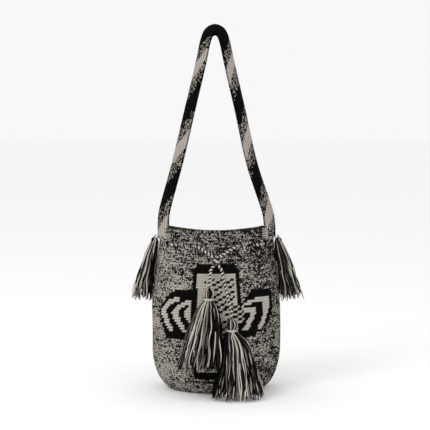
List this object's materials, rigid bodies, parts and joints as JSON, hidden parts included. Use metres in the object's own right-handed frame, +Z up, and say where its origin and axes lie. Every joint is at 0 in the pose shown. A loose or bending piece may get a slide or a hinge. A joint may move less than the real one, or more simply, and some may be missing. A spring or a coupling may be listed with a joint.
{
  "type": "crochet bucket bag",
  "caption": "Crocheted oval bucket bag with a broad curled shoulder strap, a drawstring through eyelets ending in tassels, and a yarn tassel at each strap end.",
  "frame": {"origin": "middle of the flat base, on the surface that the bag stands on", "axes": "+Z up through the mouth, -Y towards the front with the cross motif and the two hanging tassels, X across the width from strap end to strap end"},
  "size_m": [0.3126, 0.222, 0.683],
  "materials": {
    "mottled_crochet": "thick cotton crochet in black and cream yarn, matt, with a black and cream cross motif on the front",
    "woven_band": "dense twined cotton band, black, cream and speckled lozenges, matt",
    "braided_cord": "round braided cotton cord, cream and black, matt",
    "tassel_yarn": "loose plied cotton yarn, black, grey and cream",
    "cream_yarn": "plied cream cotton yarn"
  },
  "bodies": {
    "bag": {"bag_body": "mottled_crochet", "shoulder_strap": "woven_band", "left_strap_stitching": "cream_yarn", "right_strap_stitching": "cream_yarn", "drawstring": "braided_cord"},
    "front_left_swing": {"front_left_tassel": "tassel_yarn", "front_left_tassel_tie": "cream_yarn"},
    "front_right_swing": {"front_right_tassel": "tassel_yarn", "front_right_tassel_tie": "cream_yarn"},
    "left_side_swing": {"left_side_tassel": "tassel_yarn", "left_side_tassel_tie": "cream_yarn"},
    "right_side_swing": {"right_side_tassel": "tassel_yarn", "right_side_tassel_tie": "cream_yarn"}
  },
  "joints": [
    {"name": "front_left_tassel_swing", "type": "hinge", "parent": "bag", "child": "front_left_swing", "pos_m": [-0.014, -0.0845, 0.19], "axis": [0, 1, 0], "range_deg": [0, 25]},
    {"name": "front_right_tassel_swing", "type": "hinge", "parent": "bag", "child": "front_right_swing", "pos_m": [0.0273, -0.0918, 0.1335], "axis": [0, -1, 0], "range_deg": [0, 25]},
    {"name": "left_side_tassel_swing", "type": "hinge", "parent": "bag", "child": "left_side_swing", "pos_m": [-0.1165, 0, 0.279], "axis": [0, 1, 0], "range_deg": [0, 35]},
    {"name": "right_side_tassel_swing", "type": "hinge", "parent": "bag", "child": "right_side_swing", "pos_m": [0.1165, 0, 0.279], "axis": [0, -1, 0], "range_deg": [0, 35]}
  ]
}
